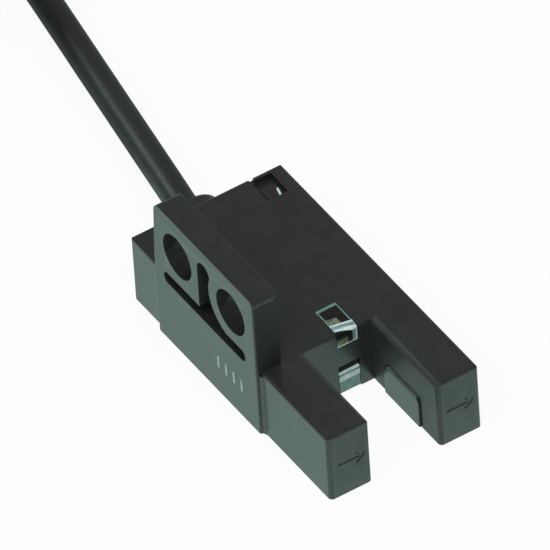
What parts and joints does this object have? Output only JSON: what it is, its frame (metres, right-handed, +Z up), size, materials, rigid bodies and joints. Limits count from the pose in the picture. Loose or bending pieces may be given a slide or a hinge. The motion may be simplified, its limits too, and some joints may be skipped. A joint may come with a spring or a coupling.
{
  "type": "slotted optical switch",
  "caption": "Fork-shaped optical switch that senses what passes through its slot, with an upright screw ear on one side, a clear light guide at the slot base and a fixed cable.",
  "frame": {"origin": "underside of the body, at the middle of the slot's width and the middle of the body's length", "axes": "+Z up from the underside, -Y towards the fork tips, +Y towards the cable, the ear on the -X side"},
  "size_m": [0.0269, 0.0761, 0.0126],
  "materials": {
    "housing_black": "satin moulded, fine grain",
    "cover_black": "satin moulded",
    "clear_plastic": "clear polished plastic",
    "filter_plastic": "smooth dark filter plastic",
    "board_green": "solder mask",
    "emitter_resin": "tinted clear resin",
    "receiver_resin": "dark resin",
    "tinned_metal": "tinned",
    "chip_black": "moulded epoxy",
    "capacitor_tan": "ceramic",
    "lamp_resin": "milky resin",
    "cable_jacket": "soft satin jacket",
    "core_brown": "core insulation",
    "core_blue": "core insulation",
    "core_black": "core insulation",
    "core_white": "core insulation",
    "tie_black": "flat plastic band"
  },
  "bodies": {
    "root": {"housing": "housing_black", "base_cover": "cover_black", "light_guide": "clear_plastic", "indicator_lens": "clear_plastic", "emitter_window": "filter_plastic", "receiver_window": "filter_plastic", "circuit_board": "board_green", "emitter": "emitter_resin", "emitter_leads": "tinned_metal", "receiver": "receiver_resin", "receiver_leads": "tinned_metal", "driver_chip": "chip_black", "output_transistor": "chip_black", "protection_diode": "chip_black", "chip_resistors": "chip_black", "chip_capacitors": "capacitor_tan", "guide_led": "lamp_resin", "indicator_led": "lamp_resin", "solder_joints": "tinned_metal", "cable_root": "cable_jacket", "crimp_ring": "tinned_metal", "brown_core": "core_brown", "blue_core": "core_blue", "black_core": "core_black", "white_core": "core_white", "cable": "cable_jacket", "cable_coil": "cable_jacket", "coil_tie": "tie_black", "cable_tail": "cable_jacket", "brown_tail": "core_brown", "blue_tail": "core_blue", "black_tail": "core_black", "white_tail": "core_white", "core_tips": "tinned_metal"}
  },
  "joints": []
}
